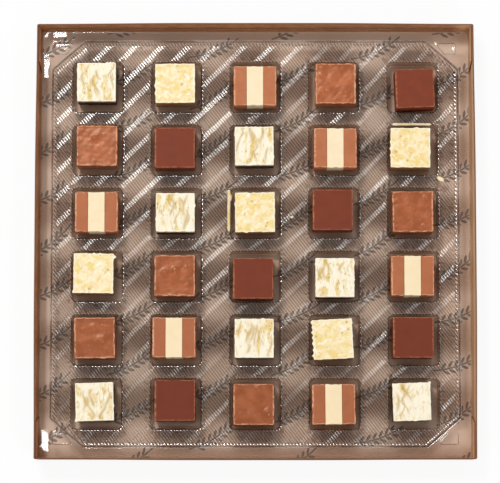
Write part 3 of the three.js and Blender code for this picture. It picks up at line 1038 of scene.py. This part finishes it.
def block_lattice(wide, deep, tall):
    """Lattice points on a block's sides and top, and its faces, with one face for its foot."""
    number = {}

    def at(i, j, k):
        return number.setdefault((i, j, k), len(number))

    faces = []
    for i in range(wide):
        for j in range(deep):
            faces.append((at(i, j, tall), at(i + 1, j, tall), at(i + 1, j + 1, tall), at(i, j + 1, tall)))
    outline = [(i, 0) for i in range(wide)] + [(wide, j) for j in range(deep)]
    outline += [(wide - i, deep) for i in range(wide)] + [(0, deep - j) for j in range(deep)]
    for k in range(tall):
        for a, b in zip(outline, outline[1:] + outline[:1]):
            faces.append((at(*a, k), at(*b, k), at(*b, k + 1), at(*a, k + 1)))
    faces.append(tuple(at(*place, 0) for place in reversed(outline)))
    return np.array(list(number)), faces


def waves(draw, x, y, size, count=9):
    """Smooth random relief, about -1 to 1, with swells about size across in x and in y."""
    size_x, size_y = np.broadcast_to(size, 2)
    total = np.zeros(len(x))
    for _ in range(count):
        angle = draw.uniform(0, 2 * math.pi)
        pace = math.pi * draw.uniform(0.6, 1.4)
        phase = draw.uniform(0, 2 * math.pi)
        total += np.cos(pace * (x * math.cos(angle) / size_x + y * math.sin(angle) / size_y) + phase)
    return total / math.sqrt(count)


class Block:
    """A chocolate or one layer of it, about its own middle and standing on z = 0."""

    LATTICES = {}
    TINY = 1e-9

    def __init__(self, node, counts, edge, corner=0.4, foot=0.4):
        self.node = node
        self.label = node.split("_")[1]
        self.turn = math.radians(TURNS.get(self.label, 0))
        self.low, self.high = box_mm(node)
        tall = self.high[2] - self.low[2]
        cosine, sine = math.cos(self.turn), abs(math.sin(self.turn))
        half = np.linalg.solve([[cosine, sine], [sine, cosine]], (self.high - self.low)[:2]) / 2
        if counts not in self.LATTICES:
            self.LATTICES[counts] = block_lattice(*counts)
        places, self.faces = self.LATTICES[counts]
        spread = np.stack([crowded(counts[axis])[places[:, axis]] for axis in (0, 1)], axis=1)
        ring = np.abs(spread).max(axis=1)
        bound = spread / np.maximum(ring, self.TINY)[:, None] * half
        held = np.clip(bound, corner - half, half - corner)
        away = bound - held
        away /= np.maximum(np.linalg.norm(away, axis=1), self.TINY)[:, None]
        depth = (1 - ring) * half.min()
        drop = tall * (1 - places[:, 2] / counts[2]) ** 1.6
        reach = np.maximum(np.hypot(edge - depth, edge - drop), self.TINY)
        near = (depth < edge) & (drop < edge)
        self.depth = np.where(near, edge - (edge - depth) * edge / reach, depth)
        self.drop = np.where(near, edge - (edge - drop) * edge / reach, drop)
        self.z = tall - self.drop
        inset = np.maximum(foot - self.z, 0) * (places[:, 2] == 0)
        self.plan = (held + away * corner) * (1 - (self.depth + inset) / half.min())[:, None]
        self.out = away
        self.half = half
        self.rim = np.zeros(len(self.z))
        self.mark = np.zeros(len(self.z))

    def pale_rim_and_highlight(self, left, right, ends):
        """Marks a pale rim of these widths along the left and right edges and both ends of the top: partly
        the chocolate's own paler edge, partly a painted highlight where the edge catches the lamp.
        """
        x, y = self.plan.T
        edges = [(self.half[0] + x, left), (self.half[0] - x, right), (self.half[1] - np.abs(y), ends)]
        near = [bell(np.maximum(away, 0) / width, 4) for away, width in edges if width]
        self.rim = np.max(near, axis=0) * bell(self.drop / 0.5)

    def spot(self, x, y, size):
        """A round hump over one place in plan."""
        return bell(np.linalg.norm(self.plan - (x, y), axis=1) / size)

    def dots(self, draw, count, radius, margin=1.0):
        """Round spots on the top, from 0 to 1, at random places and of random radius."""
        total = np.zeros(len(self.z))
        for _ in range(count):
            place = draw.uniform(-1, 1, 2) * (self.half - margin)
            total = np.maximum(total, self.spot(*place, draw.uniform(*radius)))
        return total

    def swells(self, draw, size):
        return waves(draw, *self.plan.T, size)

    def round_about(self):
        """Distance round the block for each point, as a place along its outline."""
        return np.arctan2(self.plan[:, 1], self.plan[:, 0]) * self.half.mean()

    def raised_rim(self, draw, height, width):
        """A raised edge round the top, of uneven height."""
        about = self.round_about()
        uneven = 0.75 + 0.35 * waves(draw, about, about, 2.5)
        return height * uneven * bell(self.depth / width)

    def raise_top(self, relief):
        """Moves the top up by a relief, fading down the sides."""
        self.z = self.z + relief * np.clip(1 - self.drop / 1.2, 0, 1)

    def push(self, reach):
        self.plan = self.plan + self.out * reach[:, None]

    def push_sides(self, draw, height, size, inset=0.0, share=1.0):
        """Moves the sides out by random relief less an inset, fading over the top's outer millimetre."""
        relief = (height * waves(draw, self.round_about(), self.z, size) - inset) * share
        self.push(relief * np.clip(1 - self.depth, 0, 1) * np.clip(self.z / 2, 0, 1))

    def pull_burrs(self):
        """Pulls short burrs out of the top edge."""
        for x, y, reach, width in BURRS.get(self.label, ()):
            self.push(reach * self.spot(x, y, width) * np.clip(1 - self.drop / 1.5, 0, 1))

    def make(self, name, paints, slot):
        surface = Surface()
        centre = (self.low + self.high)[:2] / 2
        surface.loop(centre + turned(*self.plan.T, self.turn), self.low[2] + self.z)
        surface.faces = self.faces
        surface.paints = [0] * len(self.faces)
        side = np.clip((self.drop - 0.6) / 1.2, 0, 1)
        # How near the front the row is, for the painted shade that deepens the nearer rows
        near = np.full(len(side), (int(self.label[1]) - 1) / (ROWS - 1))
        fields = dict(zip(FIELDS, (self.rim, self.mark, side, near)))
        name = f"{name}_{self.label}"
        body = f"choc_{self.label}"
        piece(name, surface, body, [paints[slot]], [self.node], fields, SOFT_CREASE)


def dark(draw, label, paints):
    block = Block(f"dark_{label}", WHOLE, 0.3)
    block.pale_rim_and_highlight(0.7, 0.35, 0.3)
    block.raise_top(0.025 * block.swells(draw, 6) + block.raised_rim(draw, 0.12, 0.4) - 0.12)
    block.push_sides(draw, 0.06, 2.2)
    block.make("dark_chocolate", paints, "dark")


def milk(draw, label, paints):
    block = Block(f"milk_{label}", WHOLE, 0.3)
    nuts = 0.4 * block.dots(draw, draw.integers(3, 6), (0.9, 1.7), 1.5)
    for nut in NUTS.get(label, ()):
        nuts = nuts + 2.0 * block.spot(*nut)
    pits = block.dots(draw, draw.integers(2, 5), (0.3, 0.5))
    block.pale_rim_and_highlight(0.75, 0.6, 0.45)
    relief = 0.05 * block.swells(draw, 3.4) + 0.025 * block.swells(draw, 1.1) + 0.34 * nuts - 0.2 * pits
    block.raise_top(relief + block.raised_rim(draw, 0.2, 0.55) - 0.4)
    block.push_sides(draw, 0.13, 1.8, 0.05)
    # Darker in the pits, and painted shade in a band round the top's edges
    block.mark = np.maximum(pits * 0.4, 0.35 * bell(block.depth / 2.6))
    block.make("milk_nut_chocolate", paints, "milk_nut")


def nutty(draw, label, paints):
    block = Block(f"nutty_{label}", WHOLE, 0.28)
    pits = block.dots(draw, draw.integers(2, 5), (0.25, 0.55))
    folds = block.dots(draw, draw.integers(4, 8), (0.8, 2.0), 1.5)
    block.pale_rim_and_highlight(0.5, 0.6, 0.5)
    relief = 0.08 * block.swells(draw, 3.5) + 0.05 * block.swells(draw, 1.2) + 0.15 * folds - 0.3 * pits
    block.raise_top(relief + block.raised_rim(draw, 0.1, 0.5) - 0.3)
    block.push_sides(draw, 0.09, 1.4, 0.1)
    block.pull_burrs()
    block.mark = pits * 0.7
    block.make("nutty_white_chocolate", paints, "nutty_white")


def marbled(draw, label, paints):
    body = Block(f"marbled_{label}_body", BODY, 0.12)
    body.push_sides(draw, 0.08, 2.5, 0.08)
    body.make("marbled_body", paints, "dark_body")
    block = Block(f"marbled_{label}_top", TOP, 0.28, foot=0.1)
    x, y = block.plan.T
    grooves = np.zeros(len(x))
    for _ in range(draw.integers(6, 10)):
        start = draw.uniform(-0.8, 0.8) * block.half[0]
        bend = draw.uniform(0.5, 1.5) * np.sin(y / draw.uniform(1.3, 3.0) + draw.uniform(0, 6))
        length = bell((y - draw.uniform(-6, 6)) / draw.uniform(2, 4.5), 4)
        grooves = np.maximum(grooves, bell((x - start - bend) / draw.uniform(0.3, 0.8)) * length)
    pits = block.dots(draw, draw.integers(4, 9), (0.22, 0.5))
    block.pale_rim_and_highlight(0.5, 0.5, 0.5)
    relief = 0.06 * block.swells(draw, (1.0, 4)) + 0.09 * block.swells(draw, 2.2)
    relief += block.raised_rim(draw, 0.1, 0.5) - 0.16 * grooves - 0.25 * pits
    block.raise_top(relief - 0.25)
    block.push_sides(draw, 0.09, 1.2, 0.07)
    block.pull_burrs()
    block.mark = np.maximum(grooves, pits) * 0.7
    block.make("marbled_top", paints, "white_top")


def layered(draw, label, paints):
    for side, (steps, left_rim, right_rim) in LAYERS.items():
        block = Block(f"layered_{label}_{side}", (steps, 46, 16), 0.12, corner=0.2)
        x = block.plan[:, 0]
        block.pale_rim_and_highlight(left_rim, right_rim, 0.35)
        block.raise_top(0.03 * block.swells(draw, (2, 5)) - 0.06)
        bonded = {"left": x, "centre": np.abs(x), "right": -x}[side] - block.half[0]
        block.push_sides(draw, 0.12, (1.1, 3), 0.08, 1 - np.clip(bonded + 1, 0, 1))
        block.make(f"layered_{side}", paints, "cream_layer" if side == "centre" else "milk_layer")


# A pale strip lying along the back rim of one pocket, then crumbs and dried smears of white chocolate on the
# sheet, all in the white chocolate's finish: middle, half length, half width, height and turn
CRUMBS = [
    (70.6, 53.2, 8.7, 0.6, 0.5, 0), (-11.9, 14.0, 9.4, 0.75, 0.5, 90), (-11.6, 20.0, 1.8, 1.0, 0.6, 90),
    (16.5, 11.1, 0.7, 0.5, 0.4, 20), (-2.8, 56.0, 0.6, 0.45, 0.4, 0), (83.4, 28.4, 1.7, 0.9, 0.3, -30),
]
CRUMB_STEPS = 40
CRUMB_SINK = 0.15
CRUMB_SEED = 7
# Share of a crumb's outline and of its height, from its foot up
CRUMB_PROFILE = [(1, 0), (1, 0.3), (0.9, 0.65), (0.65, 0.92), (0.3, 1)]


def crumbs(material):
    surface = Surface()
    draw = np.random.default_rng(CRUMB_SEED)
    angles = np.arange(CRUMB_STEPS) * 2 * math.pi / CRUMB_STEPS
    for x, y, long, wide, high, degrees in CRUMBS:
        uneven = 1 + 0.14 * waves(draw, angles * 3, angles * 0, 2.0)
        along = np.sign(np.cos(angles)) * np.abs(np.cos(angles)) ** (wide / long) * long
        plan = turned(along, np.sin(angles) * wide * uneven, math.radians(degrees))
        foot = field_top + wave_relief(np.array([[x, y]]))[0] - CRUMB_SINK
        loops = [surface.loop(plan * share + (x, y), foot + rise * high) for share, rise in CRUMB_PROFILE]
        surface.rings(loops)
        surface.face(loops[-1])
        surface.face(loops[0], up=False)
    fields = {name: np.zeros(len(surface.points)) for name in FIELDS}
    piece("dried_crumbs", surface, "insert", [material], fields=fields, crease=SOFT_CREASE)


def chocolates():
    paints = {slot: plain_chocolate(slot, *look) for slot, look in PLAIN.items()}
    paints |= {"white_top": marbled_white(), "nutty_white": nutty_white()}
    makers = {"dark": dark, "milk": milk, "nutty": nutty, "marbled": marbled, "layered": layered}
    words = [name.split("_") for name in frame["nodes"]]
    kinds = {label: kind for kind, label, *_ in words if kind in makers}
    for row, column in POCKETS:
        label = f"r{row + 1}c{column + 1}"
        draw = np.random.default_rng(100 * (row + 1) + column + 1)
        makers[kinds[label]](draw, label, paints)
    crumbs(paints["nutty_white"])


# Stage
IMAGE_WIDTH = 500
PIXEL = 0.4493
SENSOR = 36
CAMERA_DISTANCE = 1150
CAMERA_TILT = 5.8
LOOK_AT = (-2.39, 0.09, 8.7)
FILL = 0.6
FLOOR_HALF, FLOOR_LEVEL = 4000, -0.1
FLOOR_GLOW = 0.9


def camera():
    tilt = math.radians(CAMERA_TILT)
    data = bpy.data.cameras.new("camera")
    data.sensor_width = SENSOR
    data.lens = SENSOR * CAMERA_DISTANCE / (IMAGE_WIDTH * PIXEL)
    made = added("camera", data)
    back = Vector((0, -math.sin(tilt), math.cos(tilt)))
    made.location = (Vector(LOOK_AT) + back * CAMERA_DISTANCE) * MM
    made.rotation_euler = (tilt, 0, 0)
    bpy.context.scene.camera = made


def lamp(name, place, size, watts):
    """A square soft lamp that looks at the middle of the box."""
    data = bpy.data.lights.new(name, "AREA")
    data.size = size
    data.energy = watts
    made = added(name, data)
    made.location = place
    made.rotation_euler = (-Vector(place)).to_track_quat("-Z", "Y").to_euler()


def seen_directly(tree):
    """1 for rays that show a background: from the camera, in a mirror image or through clear sheet."""
    ray = tree.nodes.new("ShaderNodeLightPath")
    kinds = ("Is Camera Ray", "Is Glossy Ray", "Is Transmission Ray")
    camera_ray, glossy, through = (Value(tree, ray.outputs[kind]) for kind in kinds)
    return camera_ray.most(glossy).most(through)


def world():
    """A white backdrop all round under a dimmer ceiling, which gives the fill light."""
    made = bpy.data.worlds.new("studio")
    made.use_nodes = True
    tree = made.node_tree
    background = tree.nodes["Background"]
    background.inputs["Color"].default_value = WHITE
    way = tree.nodes.new("ShaderNodeSeparateXYZ")
    tree.links.new(tree.nodes.new("ShaderNodeTexCoord").outputs["Generated"], way.inputs[0])
    backdrop = Value(tree, way.outputs["Z"]).ramp(0.85, 0.6)
    strength = (seen_directly(tree) * backdrop).ramp(0, 1, FILL, 1.0)
    tree.links.new(strength.socket, background.inputs["Strength"])
    bpy.context.scene.world = made


def floor():
    """A pale floor that stays near white where it is seen, with part of the box's soft shadow kept."""
    surface = Surface()
    surface.face(surface.loop(square(FLOOR_HALF, FLOOR_HALF), FLOOR_LEVEL))
    paint = Paint("pale_floor")
    colour = paint.mix(paint.noise(400, 2.0), "f7f7f7", "fbfbfb")
    diffuse = paint.node("ShaderNodeBsdfDiffuse", {"Color": colour})
    glow = paint.node("ShaderNodeEmission", {"Color": WHITE, "Strength": 1.0})
    material = paint.blend(seen_directly(paint.tree) * FLOOR_GLOW, diffuse, glow)
    made = added("floor", mesh_of("floor", surface, [material]))


carton()
insert()
chocolates()
camera()
lamp("key", (-0.263, 0.432, 1.0), 0.2, 5.0)
lamp("low", (0.42, -0.62, 0.8), 0.1, 1.2)
world()
floor()
bpy.context.scene.view_settings.view_transform = "Standard"
